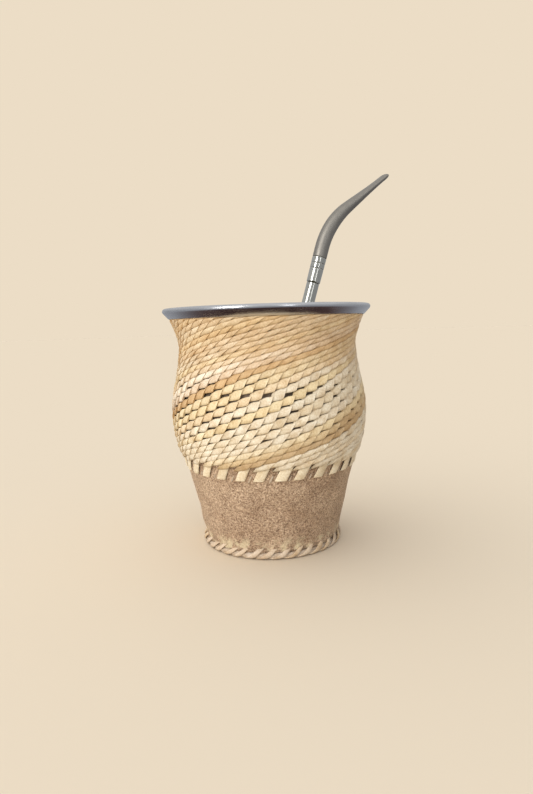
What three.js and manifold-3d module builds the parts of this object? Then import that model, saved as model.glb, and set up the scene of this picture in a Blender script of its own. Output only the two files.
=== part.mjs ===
// A mate gourd ready to drink: a calabash cup in a hide base and a woven rawhide sleeve,
// with a steel rim, a bed of yerba leaf, the infusion beside it and a bent steel straw.
// Millimetres, +Z up. The origin is the middle of the flat underside, the front faces -Y.

import * as THREE from 'three';
import { mergeVertices } from 'three/addons/utils/BufferGeometryUtils.js';
import Module from 'manifold-3d';

const wasm = await Module();
wasm.setup();

// Driving dimensions of the cup
const CUP_HEIGHT = 102.6;
const GAP = 0.3;
const ROUND_SEGMENTS = 40;

// Outside of the woven sleeve: foot, bulge, neck and the edge under the rim
const SLEEVE_FOOT_Z = 39;
const SLEEVE_FOOT_R = 39.35;
const BULGE_Z = 58;
const BULGE_R = 42.85;
const NECK_Z = 87;
const NECK_R = 38.7;
const SLEEVE_TOP_Z = 97.9;
const SLEEVE_TOP_R = 42.1;
const FLARE_POWER = 1.4;
const SLEEVE_WALL = 1.8;

// Weave of the sleeve: each lace makes one stitch in every second column
const LACE_COUNT = 31;
const STITCH_COLUMNS = 2 * LACE_COUNT;
const STITCH_HALF_ROWS = 22;
const STITCH_RELIEF = 0.42;
const COLUMN_LEAN_DEG = 26;
const SLEEVE_BACK_ROWS = 8;

// Lace ends that dive into slits of the hide below the sleeve
const TAB_WIDTH = 4.6;
const TAB_THICKNESS = 0.9;
const TAB_ROOT_THICKNESS = 0.7;
const TAB_END_Z = 34.5;
const TAB_ROOT_Z = 39.8;
const TAB_SLANT_DEG = 3.0;
const FRONT_TAB_DEG = -85.7;

// Hide base: a cone with a flat underside and a rebate for the lacing
const HIDE_FOOT_R = 28.7;
const HIDE_SLOPE = 0.224;
const HIDE_SHOULDER_Z = 34.2;
const HIDE_TUCK_R = 37.1;
const HIDE_TUCK_Z = 38.6;
const HIDE_TOP_Z = 41.2;
const HIDE_TOP_R = 37.8;
const HIDE_WALL = 1.6;
const HIDE_FLOOR = 2.6;
const REBATE_R = 27.8;
const REBATE_Z = 3.8;
const REBATE_STEP = 0.8;
const UNDERSIDE_R = 27.0;

// Lacing whipped round the bottom edge
const LACING_STITCHES = 34;
const LACING_RING_R = 29.3;
const LACING_RING_Z = 1.9;
const LACING_TUBE = 1.1;
const LACING_HALF_HEIGHT = 1.6;
const LACING_SWELL = 0.3;
const LACING_STEPS = 4;
const LACING_SIDES = 5;

// Calabash cup inside the sleeve and the hide
const GOURD_WALL = 4.2;
const CAVITY_FLOOR_Z = 9;
const CAVITY_FLOOR_R = 15;
const CAVITY_CORNER_Z = 13;
const LEDGE_Z = 93.4;
const LEDGE_R = 34.2;
const MOUTH_SEAT_R = 36.2;
const GOURD_TOP_Z = 98.6;

// Steel rim: an outer bead, a cone below it and a skirt inside the mouth
const BEAD_R = 44.7;
const BEAD_TUBE = 1.0;
const RIM_FOOT_Z = 98.2;
const RIM_FOOT_R = 42.1;
const RIM_SHEET = 0.9;
const SKIRT_R = 35.0;
const SKIRT_FOOT_Z = 93.8;
const BEAD_STEPS = 6;
const BEAD_START_DEG = -35;
const BEAD_END_DEG = 125;
const RIM_SEGMENTS = 52;

// Bent drinking straw: it leans in an upright plane turned about Z
const STRAW_AT_RIM = new THREE.Vector3(19.6, 25.9, CUP_HEIGHT);
const STRAW_PLANE_DEG = 17;
const STRAW_LEAN_DEG = 16.7;
const STRAW_FOOT_Z = 16;
const SHAFT_DIAMETER = 6.0;
const JOINT_ABOVE_RIM = 11.9;
const FERRULE_DIAMETER = 6.4;
const FERRULE_LENGTH = 10.6;
const MOUTHPIECE_DIAMETER = 6.8;
const NECK_LENGTH = 6.4;
const BEND_RADIUS = 37;
const BEND_DEG = 36.5;
const BILL_LENGTH = 25.5;
const BILL_THICKNESS = 2.4;
const BILL_WIDTH = 9.0;
const BILL_TAPER_START = 0.4;
const TIP_ROUNDING = 0.6;
const SLOT_THICKNESS = 1.0;
const SLOT_WIDTH = 6.2;
const SLOT_DEPTH = 7;
const STRAW_SIDES = 14;

// Contents: the leaf bed is banked up away from the straw, the infusion lies below it
const LEAF_BANK_Z = 86;
const LEAF_LOW_Z = 73;
const BANK_MIDDLE = 4;
const BANK_HALF_WIDTH = 9;
const LEAF_BUMP = 0.55;
const LEAF_BUMPS_ACROSS = 20;
const LEAF_SEED = 7;
const DRINK_LEVEL_Z = 79.2;

const deg = THREE.MathUtils.degToRad;

/** Radius of the sleeve's outside at height z: parabola, half cosine wave, then a flare. */
function sleeveRadius(z) {
  if (z <= BULGE_Z) {
    const below = (BULGE_Z - z) / (BULGE_Z - SLEEVE_FOOT_Z);
    return BULGE_R - (BULGE_R - SLEEVE_FOOT_R) * below * below;
  }
  if (z <= NECK_Z) {
    const along = (z - BULGE_Z) / (NECK_Z - BULGE_Z);
    return NECK_R + (BULGE_R - NECK_R) * 0.5 * (1 + Math.cos(Math.PI * along));
  }
  const above = (z - NECK_Z) / (SLEEVE_TOP_Z - NECK_Z);
  return NECK_R + (SLEEVE_TOP_R - NECK_R) * above ** FLARE_POWER;
}

/** Radius of the hide's outside at height z: a cone that tucks in under the sleeve. */
function hideRadius(z) {
  if (z <= HIDE_SHOULDER_Z) {
    return HIDE_FOOT_R + HIDE_SLOPE * z;
  }
  if (z <= HIDE_TUCK_Z) {
    const shoulder = HIDE_FOOT_R + HIDE_SLOPE * HIDE_SHOULDER_Z;
    return THREE.MathUtils.mapLinear(z, HIDE_SHOULDER_Z, HIDE_TUCK_Z, shoulder, HIDE_TUCK_R);
  }
  return THREE.MathUtils.mapLinear(z, HIDE_TUCK_Z, HIDE_TOP_Z, HIDE_TUCK_R, HIDE_TOP_R);
}

/** Evenly spaced heights from low to high, ends included. */
function heights(low, high, count) {
  return Array.from({ length: count }, (_, i) => low + ((high - low) * i) / (count - 1));
}

/** Points (radius, height) of a wall that follows a radius function, moved in by an inset. */
function wallPoints(radiusAt, inset, zs) {
  return zs.map((z) => new THREE.Vector2(radiusAt(z) - inset, z));
}

/** Closed geometry with only positions, its shared corners merged. */
function closedGeometry(geometry) {
  geometry.deleteAttribute('normal');
  geometry.deleteAttribute('uv');
  return mergeVertices(geometry, 1e-4);
}

/** Profile turned about Z. The points run anticlockwise round the section, radius to the right. */
function turned(points, segments) {
  const geometry = new THREE.LatheGeometry(points, segments);
  geometry.rotateX(Math.PI / 2);
  return closedGeometry(geometry);
}

/** Solid for joining and cutting, made from a closed geometry. */
function toSolid(geometry) {
  return new wasm.Manifold(new wasm.Mesh({
    numProp: 3,
    vertProperties: new Float32Array(geometry.attributes.position.array),
    triVerts: new Uint32Array(geometry.index.array),
  }));
}

/** Geometry of a solid, with positions only. */
function toGeometry(solid) {
  const mesh = solid.getMesh();
  const geometry = new THREE.BufferGeometry();
  geometry.setAttribute('position', new THREE.BufferAttribute(new Float32Array(mesh.vertProperties), 3));
  geometry.setIndex(new THREE.BufferAttribute(new Uint32Array(mesh.triVerts), 1));
  return geometry;
}

/** The largest body of a solid, without loose scraps. */
function largestBody(solid) {
  return solid.decompose().reduce((a, b) => (a.volume() > b.volume() ? a : b));
}

/** Repeatable random numbers from 0 to 1. */
function seededRandom(seed) {
  let state = seed;
  return () => {
    state = (state * 16807) % 2147483647;
    return state / 2147483647;
  };
}

// Calabash cup
const cavityZs = heights(CAVITY_CORNER_Z, NECK_Z, 6);
const sleeveBackZs = heights(SLEEVE_FOOT_Z, SLEEVE_TOP_Z, SLEEVE_BACK_ROWS);

/** Outside of the calabash at height z, inside the hide and then inside the sleeve. */
function gourdRadius(z) {
  if (z <= HIDE_TOP_Z) {
    return hideRadius(z) - HIDE_WALL - GAP;
  }
  return sleeveRadius(z) - SLEEVE_WALL - 2 * GAP;
}

/** Inside of the calabash at height z, up to the neck. */
function cavityRadius(z) {
  return gourdRadius(z) - GOURD_WALL;
}

/** Section of the cavity from its floor up to the ledge, moved in by an inset. */
function cavityPoints(inset) {
  return [
    new THREE.Vector2(0, CAVITY_FLOOR_Z + inset),
    new THREE.Vector2(CAVITY_FLOOR_R, CAVITY_FLOOR_Z + inset),
    ...wallPoints(cavityRadius, inset, cavityZs),
    new THREE.Vector2(LEDGE_R - inset, LEDGE_Z),
  ];
}

function makeGourd() {
  const gourdFloorZ = HIDE_FLOOR + GAP;
  const outside = [
    new THREE.Vector2(0, gourdFloorZ),
    new THREE.Vector2(REBATE_R - HIDE_WALL - GAP, gourdFloorZ),
    ...wallPoints(gourdRadius, 0, [REBATE_Z + HIDE_WALL, HIDE_SHOULDER_Z, HIDE_TUCK_Z, HIDE_TOP_Z]),
    ...wallPoints(gourdRadius, 0, [HIDE_TOP_Z + 2 * GAP, ...sleeveBackZs.slice(1)]),
    new THREE.Vector2(gourdRadius(SLEEVE_TOP_Z), GOURD_TOP_Z),
  ];
  const inside = [
    ...cavityPoints(0),
    new THREE.Vector2(MOUTH_SEAT_R, LEDGE_Z),
    new THREE.Vector2(MOUTH_SEAT_R, GOURD_TOP_Z),
  ].reverse();
  return turned([...outside, ...inside], ROUND_SEGMENTS);
}

// Hide base
function makeHide() {
  const outside = [
    new THREE.Vector2(0, 0),
    new THREE.Vector2(UNDERSIDE_R, 0),
    new THREE.Vector2(REBATE_R, REBATE_STEP),
    new THREE.Vector2(REBATE_R, REBATE_Z),
    ...wallPoints(hideRadius, 0, [REBATE_Z + REBATE_STEP, HIDE_SHOULDER_Z, HIDE_TUCK_Z, HIDE_TOP_Z]),
  ];
  const inside = [
    ...wallPoints(hideRadius, HIDE_WALL, [HIDE_TOP_Z, HIDE_TUCK_Z, HIDE_SHOULDER_Z]),
    ...wallPoints(hideRadius, HIDE_WALL, [REBATE_Z + HIDE_WALL]),
    new THREE.Vector2(REBATE_R - HIDE_WALL, HIDE_FLOOR),
    new THREE.Vector2(0, HIDE_FLOOR),
  ];
  return turned([...outside, ...inside], ROUND_SEGMENTS);
}

// Woven sleeve
/** Sleeve wall whose outside rises and falls from stitch to stitch along leaning columns. */
function makeSleeveWall() {
  const outerZs = heights(SLEEVE_FOOT_Z, SLEEVE_TOP_Z, STITCH_HALF_ROWS + 1);
  const points = [
    ...wallPoints(sleeveRadius, 0, outerZs),
    ...wallPoints(sleeveRadius, SLEEVE_WALL, sleeveBackZs).reverse(),
  ];
  points.push(points[0].clone());
  const lathe = new THREE.LatheGeometry(points, STITCH_COLUMNS);
  lathe.rotateX(Math.PI / 2);
  const position = lathe.attributes.position;
  const corner = new THREE.Vector3();
  for (let n = 0; n < position.count; n += 1) {
    const row = (n % points.length) % (points.length - 1);
    const column = Math.floor(n / points.length);
    corner.fromBufferAttribute(position, n);
    const radius = Math.hypot(corner.x, corner.y);
    const isOuter = row <= STITCH_HALF_ROWS;
    const sunk = isOuter && (row + column) % 2 === 1 ? 2 * STITCH_RELIEF : 0;
    const lean = ((corner.z - SLEEVE_FOOT_Z) * Math.tan(deg(COLUMN_LEAN_DEG))) / BULGE_R;
    const angle = Math.atan2(corner.y, corner.x) + lean;
    const reach = radius - sunk;
    position.setXYZ(n, reach * Math.cos(angle), reach * Math.sin(angle), corner.z);
  }
  return closedGeometry(lathe);
}

/** One lace end: a flat strip that lies on the hide and slants as it goes down into its slit. */
function makeTab(angle) {
  const strip = new THREE.BoxGeometry(TAB_WIDTH, 1, 1);
  const position = strip.attributes.position;
  for (let n = 0; n < position.count; n += 1) {
    const isRoot = position.getZ(n) > 0;
    const z = isRoot ? TAB_ROOT_Z : TAB_END_Z;
    const innerFace = isRoot ? sleeveRadius(z) - SLEEVE_WALL + GAP / 2 : hideRadius(z) + GAP;
    const thickness = isRoot ? TAB_ROOT_THICKNESS : TAB_THICKNESS;
    const radius = innerFace + thickness * (0.5 - position.getY(n));
    const turn = angle + position.getX(n) / hideRadius(z) + (isRoot ? deg(TAB_SLANT_DEG) : 0);
    position.setXYZ(n, radius * Math.cos(turn), radius * Math.sin(turn), z);
  }
  return closedGeometry(strip);
}

function makeSleeve() {
  let sleeve = toSolid(makeSleeveWall());
  for (let lace = 0; lace < LACE_COUNT; lace += 1) {
    const angle = deg(FRONT_TAB_DEG) + (2 * Math.PI * lace) / LACE_COUNT;
    sleeve = sleeve.add(toSolid(makeTab(angle)));
  }
  return toGeometry(sleeve);
}

// Lacing round the bottom edge
/** Ring whose section swells once for each slanting stitch. */
function makeLacing() {
  const steps = LACING_STITCHES * LACING_STEPS;
  const ring = new THREE.TorusGeometry(LACING_RING_R, LACING_TUBE, LACING_SIDES, steps);
  const position = ring.attributes.position;
  for (let n = 0; n < position.count; n += 1) {
    const x = position.getX(n);
    const y = position.getY(n);
    const z = (position.getZ(n) * LACING_HALF_HEIGHT) / LACING_TUBE;
    const angle = Math.atan2(y, x);
    const outward = Math.hypot(x, y) - LACING_RING_R;
    const turnOfSection = Math.atan2(z, outward);
    const swell = LACING_SWELL * Math.cos(LACING_STITCHES * angle - turnOfSection) * (outward > 0 ? 1 : 0);
    const radius = LACING_RING_R + outward * (1 + swell / LACING_TUBE);
    position.setXYZ(n, radius * Math.cos(angle), radius * Math.sin(angle), z + LACING_RING_Z);
  }
  return closedGeometry(ring);
}

// Steel rim
function makeRim() {
  const bead = new THREE.Vector2(BEAD_R - BEAD_TUBE, CUP_HEIGHT - BEAD_TUBE);
  const beadArc = Array.from({ length: BEAD_STEPS }, (_, i) => {
    const angle = deg(THREE.MathUtils.lerp(BEAD_START_DEG, BEAD_END_DEG, i / (BEAD_STEPS - 1)));
    return new THREE.Vector2(Math.cos(angle), Math.sin(angle)).multiplyScalar(BEAD_TUBE).add(bead);
  });
  const seatRoof = GOURD_TOP_Z + GAP;
  const points = [
    new THREE.Vector2(RIM_FOOT_R, RIM_FOOT_Z),
    ...beadArc,
    new THREE.Vector2(SKIRT_R + RIM_SHEET, seatRoof + RIM_SHEET),
    new THREE.Vector2(SKIRT_R, seatRoof),
    new THREE.Vector2(SKIRT_R, SKIRT_FOOT_Z),
    new THREE.Vector2(SKIRT_R + RIM_SHEET, SKIRT_FOOT_Z),
    new THREE.Vector2(SKIRT_R + RIM_SHEET, seatRoof),
    new THREE.Vector2(RIM_FOOT_R - 1.5 * RIM_SHEET, seatRoof),
    new THREE.Vector2(RIM_FOOT_R - RIM_SHEET, RIM_FOOT_Z),
  ];
  points.push(points[0].clone());
  return turned(points, RIM_SEGMENTS);
}

// Drinking straw
const strawPlane = new THREE.Vector3(Math.cos(deg(STRAW_PLANE_DEG)), Math.sin(deg(STRAW_PLANE_DEG)), 0);
const strawSide = new THREE.Vector3(-strawPlane.y, strawPlane.x, 0);
const up = new THREE.Vector3(0, 0, 1);

// Distances along the straw, counted from the rim's level
const shaftFoot = -(CUP_HEIGHT - STRAW_FOOT_Z) / Math.cos(deg(STRAW_LEAN_DEG));
const ferruleEnd = JOINT_ABOVE_RIM + FERRULE_LENGTH;
const bendStart = ferruleEnd + NECK_LENGTH;
const bendEnd = bendStart + BEND_RADIUS * deg(BEND_DEG);
const strawTip = bendEnd + BILL_LENGTH;

/** Direction in the straw's plane that leans from the vertical by an angle. */
function leaning(angle) {
  return strawPlane.clone().multiplyScalar(Math.sin(angle)).addScaledVector(up, Math.cos(angle));
}

/** Point and direction of the straw's centreline at a distance above the rim's level. */
function strawAt(distance) {
  const lean = deg(STRAW_LEAN_DEG);
  const start = STRAW_AT_RIM.clone().addScaledVector(leaning(lean), Math.min(distance, bendStart));
  if (distance <= bendStart) {
    return { point: start, angle: lean };
  }
  const turn = Math.min((distance - bendStart) / BEND_RADIUS, deg(BEND_DEG));
  const chord = 2 * BEND_RADIUS * Math.sin(turn / 2);
  start.addScaledVector(leaning(lean + turn / 2), chord);
  const beyond = distance - bendStart - turn * BEND_RADIUS;
  return { point: start.addScaledVector(leaning(lean + turn), beyond), angle: lean + turn };
}

/** Bar swept along the straw; sizeAt gives its thickness in the bend's plane and its width across. */
function sweptBar(stations, sizeAt) {
  const bar = new THREE.CylinderGeometry(1, 1, 1, STRAW_SIDES, stations.length - 1);
  const position = bar.attributes.position;
  for (let n = 0; n < position.count; n += 1) {
    const station = Math.round((position.getY(n) + 0.5) * (stations.length - 1));
    const { point, angle } = strawAt(stations[station]);
    const { thickness, width } = sizeAt(stations[station]);
    const across = leaning(angle + Math.PI / 2);
    point.addScaledVector(across, (position.getX(n) * thickness) / 2);
    point.addScaledVector(strawSide, (-position.getZ(n) * width) / 2);
    position.setXYZ(n, point.x, point.y, point.z);
  }
  return closedGeometry(bar);
}

/** Straight tube of the straw, made with extra width where a clearance cut is wanted. */
function makeShaft(clearance) {
  const size = SHAFT_DIAMETER + 2 * clearance;
  return sweptBar([shaftFoot - clearance, JOINT_ABOVE_RIM - GAP], () => ({ thickness: size, width: size }));
}

/** Thickness and width of the mouthpiece: ferrule, round tube, then a bill pressed flat. */
function mouthpieceSize(distance) {
  if (distance <= ferruleEnd) {
    return { thickness: FERRULE_DIAMETER, width: FERRULE_DIAMETER };
  }
  const flatStart = THREE.MathUtils.lerp(bendStart, bendEnd, BILL_TAPER_START);
  const flat = THREE.MathUtils.smoothstep(distance, flatStart, strawTip);
  const rounding = distance > strawTip - SLOT_THICKNESS ? TIP_ROUNDING : 1;
  return {
    thickness: THREE.MathUtils.lerp(MOUTHPIECE_DIAMETER, BILL_THICKNESS, flat) * rounding,
    width: THREE.MathUtils.lerp(MOUTHPIECE_DIAMETER, BILL_WIDTH, flat) * (rounding + 1) / 2,
  };
}

function makeMouthpiece() {
  const stations = [
    JOINT_ABOVE_RIM,
    ferruleEnd,
    ferruleEnd + GAP,
    ...heights(bendStart, bendEnd, 6),
    ...heights(bendEnd, strawTip - SLOT_THICKNESS, 6).slice(1),
    strawTip,
  ];
  const bar = toSolid(sweptBar(stations, mouthpieceSize));
  const slot = new THREE.BoxGeometry(SLOT_THICKNESS, SLOT_WIDTH, 2 * SLOT_DEPTH);
  const { point, angle } = strawAt(strawTip);
  const along = leaning(angle);
  slot.applyMatrix4(new THREE.Matrix4().makeBasis(leaning(angle + Math.PI / 2), strawSide, along));
  slot.translate(point.x, point.y, point.z);
  return toGeometry(bar.subtract(toSolid(closedGeometry(slot))));
}

// Contents
/** Height of the leaf bed: a bank on the far side from the straw, falling to a hollow. */
function leafHeight(x, y) {
  const towardsStraw = (x * STRAW_AT_RIM.x + y * STRAW_AT_RIM.y) / Math.hypot(STRAW_AT_RIM.x, STRAW_AT_RIM.y);
  const fall = THREE.MathUtils.smoothstep(
    towardsStraw, BANK_MIDDLE - BANK_HALF_WIDTH, BANK_MIDDLE + BANK_HALF_WIDTH);
  return THREE.MathUtils.lerp(LEAF_BANK_Z, LEAF_LOW_Z, fall);
}

/** Block below the leaf bed's surface, lifted by an offset, with leaf-sized bumps on top. */
function leafBlock(lift) {
  const random = seededRandom(LEAF_SEED);
  const side = 2 * BULGE_R;
  const box = new THREE.BoxGeometry(side, side, 1, LEAF_BUMPS_ACROSS, LEAF_BUMPS_ACROSS, 1);
  const block = closedGeometry(box);
  const position = block.attributes.position;
  for (let n = 0; n < position.count; n += 1) {
    if (position.getZ(n) > 0) {
      const bump = LEAF_BUMP * (2 * random() - 1);
      position.setZ(n, leafHeight(position.getX(n), position.getY(n)) + bump + lift);
    }
  }
  return block;
}

/** Cavity filled up to a level, clear of the calabash by the gap. */
function filledCavity(level) {
  const below = cavityPoints(GAP).filter((point) => point.y < level);
  const last = below[below.length - 1];
  const next = cavityPoints(GAP)[below.length];
  const share = (level - last.y) / (next.y - last.y);
  const edge = last.clone().lerp(next, share);
  return toSolid(turned([...below, edge, new THREE.Vector2(0, level)], ROUND_SEGMENTS));
}

const strawCut = toSolid(makeShaft(GAP));

function makeLeafBed() {
  const filled = filledCavity(LEDGE_Z - GAP);
  return toGeometry(largestBody(filled.intersect(toSolid(leafBlock(0))).subtract(strawCut)));
}

function makeDrink() {
  const filled = filledCavity(DRINK_LEVEL_Z);
  return toGeometry(largestBody(filled.subtract(toSolid(leafBlock(GAP))).subtract(strawCut)));
}

// Finishes
const finishes = {
  calabash: { color: 0x6b5138, roughness: 0.8, metalness: 0 },
  rawhide: { color: 0xe6d2a6, roughness: 0.6, metalness: 0 },
  hide: { color: 0xb59a74, roughness: 0.9, metalness: 0 },
  polishedSteel: { color: 0xa9adb3, roughness: 0.22, metalness: 1 },
  satinSteel: { color: 0x9a948c, roughness: 0.38, metalness: 1 },
  leaf: { color: 0x7d8a45, roughness: 0.95, metalness: 0 },
  infusion: { color: 0x8c8a3a, roughness: 0.1, metalness: 0 },
};

/** One named piece with a material of its own. */
function piece(name, geometry, finish) {
  const mesh = new THREE.Mesh(geometry, new THREE.MeshStandardMaterial(finishes[finish]));
  mesh.name = name;
  return mesh;
}

const mate = new THREE.Group();
mate.name = 'mate_gourd_drink';
mate.add(
  piece('gourd_body', makeGourd(), 'calabash'),
  piece('hide_base', makeHide(), 'hide'),
  piece('base_lacing', makeLacing(), 'rawhide'),
  piece('woven_sleeve', makeSleeve(), 'rawhide'),
  piece('steel_rim', makeRim(), 'polishedSteel'),
  piece('straw_shaft', makeShaft(0), 'polishedSteel'),
  piece('straw_mouthpiece', makeMouthpiece(), 'satinSteel'),
  piece('leaf_bed', makeLeafBed(), 'leaf'),
  piece('mate_drink', makeDrink(), 'infusion'),
);

export default mate;
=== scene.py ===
"""Looks of a mate gourd ready to drink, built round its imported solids.

Sizes are in millimetres, and put_mesh turns them into metres. The front of the cup faces -Y.
An azimuth is counted from the front towards +X, in radians unless its name says degrees.
"""

import math

import bpy
import numpy as np
from mathutils import Matrix, Vector


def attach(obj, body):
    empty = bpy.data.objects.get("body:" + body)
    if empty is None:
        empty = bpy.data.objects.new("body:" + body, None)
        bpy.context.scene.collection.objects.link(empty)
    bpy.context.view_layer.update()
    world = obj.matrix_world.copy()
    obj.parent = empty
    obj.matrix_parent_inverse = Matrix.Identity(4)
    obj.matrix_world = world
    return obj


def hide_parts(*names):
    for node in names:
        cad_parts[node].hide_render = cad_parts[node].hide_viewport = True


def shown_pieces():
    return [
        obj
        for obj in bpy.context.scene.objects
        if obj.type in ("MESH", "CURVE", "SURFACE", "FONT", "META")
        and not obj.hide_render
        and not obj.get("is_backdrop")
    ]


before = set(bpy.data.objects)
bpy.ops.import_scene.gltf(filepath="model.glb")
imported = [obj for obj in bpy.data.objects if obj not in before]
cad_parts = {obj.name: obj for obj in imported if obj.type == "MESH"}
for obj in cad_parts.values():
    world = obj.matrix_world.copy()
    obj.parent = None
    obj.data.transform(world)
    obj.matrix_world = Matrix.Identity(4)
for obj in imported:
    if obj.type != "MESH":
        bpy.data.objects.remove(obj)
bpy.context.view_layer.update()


# Calabash cup: the shell of a dried gourd, cut open at its neck and scraped out. It carries
# all the rest: the hide is shrunk on below, the sleeve is woven round the bulge and the steel
# rim is pressed into the mouth. Its dark outside shows in the slots of the weave.
MILLIMETRE = 0.001
ROUND_STEPS = 160
SLEEVE_FOOT_Z, SLEEVE_FOOT_R = 39.0, 39.35
BULGE_Z, BULGE_R = 58.0, 42.85
NECK_Z, NECK_R = 87.0, 38.7
SLEEVE_TOP_Z, SLEEVE_TOP_R = 97.9, 42.1
FLARE_POWER = 1.4
SLEEVE_DEPTH = 2.4
HIDE_HEIGHTS = (0.0, 34.2, 38.6, 41.2)
HIDE_RADII = (28.7, 36.36, 37.1, 37.8)
HIDE_SHOULDER_Z, HIDE_TOP_Z = HIDE_HEIGHTS[1], HIDE_HEIGHTS[-1]
HIDE_WALL = 1.9
GOURD_FLOOR_Z, GOURD_FOOT_R = 2.9, 25.6
FOOT_ROUND_Z = 5.4
GOURD_WALL = 4.2
CAVITY_FLOOR_Z, CAVITY_FLOOR_R, CAVITY_CORNER_Z = 9.0, 15.0, 13.0
LEDGE_Z, LEDGE_R, MOUTH_R, GOURD_TOP_Z = 93.4, 34.2, 36.2, 98.6
POLE_R = 0.5


def sleeve_radius(z):
    """Outside of the sleeve at height z: a parabola up to the bulge, half a cosine wave from
    there to the neck, then a flare that grows with a power of the height above the neck."""
    below = (BULGE_Z - z) / (BULGE_Z - SLEEVE_FOOT_Z)
    along = (z - BULGE_Z) / (NECK_Z - BULGE_Z)
    above = np.maximum(z - NECK_Z, 0) / (SLEEVE_TOP_Z - NECK_Z)
    swell = BULGE_R - (BULGE_R - SLEEVE_FOOT_R) * below**2
    waist = NECK_R + (BULGE_R - NECK_R) * 0.5 * (1 + np.cos(np.pi * along))
    flare = NECK_R + (SLEEVE_TOP_R - NECK_R) * above**FLARE_POWER
    return np.select([z <= BULGE_Z, z <= NECK_Z], [swell, waist], flare)


def hide_radius(z):
    """Outside of the hide at height z: straight between foot, shoulder, tuck and top edge."""
    return np.interp(z, HIDE_HEIGHTS, HIDE_RADII)


def gourd_radius(z):
    """Outside of the calabash: the hide less its wall, and above it the sleeve less its depth."""
    return np.where(z <= HIDE_TOP_Z, hide_radius(z) - HIDE_WALL, sleeve_radius(z) - SLEEVE_DEPTH)


def cavity_radius(z):
    """Inside of the calabash at height z: its outside less the shell's thickness."""
    return gourd_radius(z) - GOURD_WALL


def round_points(radius, azimuth, height):
    """Points at a radius r, an azimuth a and a height: x = r sin a, y = -r cos a."""
    x, y = radius * np.sin(azimuth), -radius * np.cos(azimuth)
    return np.stack(np.broadcast_arrays(x, y, height), -1)


def turned(outline, steps):
    """Grid of points of an outline (radius, height) turned about Z by each azimuth of a full
    turn. An outline that runs up the outside gives outward faces."""
    radius, height = np.asarray(outline, float).T
    azimuth = np.linspace(0, 2 * np.pi, steps, endpoint=False)[:, None]
    return round_points(radius, azimuth, height)


def grid_faces(columns, rows, close_columns=True, close_rows=False):
    """Corner numbers of the squares of a grid whose points are counted row by row in a column."""
    column = np.arange(columns if close_columns else columns - 1)[:, None]
    row = np.arange(rows if close_rows else rows - 1)[None, :]
    corners = [(column, row), (column + 1, row), (column + 1, row + 1), (column, row + 1)]
    numbers = [(i % columns) * rows + j % rows for i, j in corners]
    return np.stack(numbers, -1).reshape(-1, 4)


def grid_border(columns, rows):
    """Point numbers round the border of an open grid: along its foot, up, back and down again."""
    number = np.arange(columns * rows).reshape(columns, rows)
    return np.concatenate([number[:, 0], number[-1, 1:], number[-2::-1, -1], number[0, -2:0:-1]])


def capped_faces(columns, rows):
    """Squares of a turned grid, and one flat face on its first ring and on its last."""
    first_ring = np.arange(columns)[::-1] * rows
    last_ring = np.arange(columns) * rows + rows - 1
    return [*grid_faces(columns, rows).tolist(), first_ring.tolist(), last_ring.tolist()]


def repeated_faces(faces, copies, points_each):
    """Faces of one closed form, counted on for each of its copies."""
    return [[corner + points_each * copy for corner in face] for copy in range(copies) for face in faces]


def put_mesh(name, points, faces, material, sharp_degrees=40):
    """Smooth mesh piece at the origin, sharp only where faces meet at more than an angle."""
    mesh = bpy.data.meshes.new(name)
    corners = faces if isinstance(faces, list) else faces.tolist()
    mesh.from_pydata((np.reshape(points, (-1, 3)) * MILLIMETRE).tolist(), [], corners)
    mesh.shade_smooth()
    mesh.set_sharp_from_angle(angle=math.radians(sharp_degrees))
    mesh.materials.append(material)
    piece = bpy.data.objects.new(name, mesh)
    bpy.context.scene.collection.objects.link(piece)
    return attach(piece, "root")


def paint(red, green, blue):
    """Linear colour for a shader from the values, 0 to 255, that a screen shows."""
    shown = np.array([red, green, blue]) / 255
    linear = np.where(shown <= 0.04045, shown / 12.92, ((shown + 0.055) / 1.055) ** 2.4)
    return (*linear.tolist(), 1.0)


def add_node(tree, kind, inputs=None, **settings):
    """Shader node of a kind. Each input is a plain value or the output of another node."""
    node = tree.nodes.new("ShaderNode" + kind)
    for name, value in settings.items():
        setattr(node, name, value)
    for name, value in (inputs or {}).items():
        if isinstance(value, bpy.types.NodeSocket):
            tree.links.new(value, node.inputs[name])
        else:
            node.inputs[name].default_value = value
    return node


def add_ramp(tree, value, *stops):
    """Colour that runs through stops of (position, colour) as a value goes from 0 to 1."""
    node = add_node(tree, "ValToRGB", {"Fac": value})
    elements = node.color_ramp.elements
    for position, colour in stops[1:-1]:
        elements.new(position).color = colour
    elements[0].position, elements[0].color = stops[0]
    elements[-1].position, elements[-1].color = stops[-1]
    return node.outputs["Color"]


def add_mix(tree, share, first, second, blend="MIX"):
    """Colour between two colours, by a share that is a value or an output."""
    mix = tree.nodes.new("ShaderNodeMix")
    mix.data_type, mix.blend_type = "RGBA", blend
    for socket, value in zip((mix.inputs[0], mix.inputs[6], mix.inputs[7]), (share, first, second)):
        if isinstance(value, bpy.types.NodeSocket):
            tree.links.new(value, socket)
        else:
            socket.default_value = value
    return mix.outputs[2]


def add_range(tree, value, low, high, start=0.0, end=1.0):
    """Number that runs from low to high while a value runs from start to end, held at both."""
    inputs = {"Value": value, "From Min": start, "From Max": end, "To Min": low, "To Max": high}
    return add_node(tree, "MapRange", inputs).outputs["Result"]


def new_material(name, **values):
    """Material, its node tree and its Principled shader, with constant values on its sockets."""
    material = bpy.data.materials.new(name)
    material.use_nodes = True
    shader = material.node_tree.nodes["Principled BSDF"]
    for socket, value in values.items():
        shader.inputs[socket.replace("_", " ")].default_value = value
    return material, material.node_tree, shader


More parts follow.
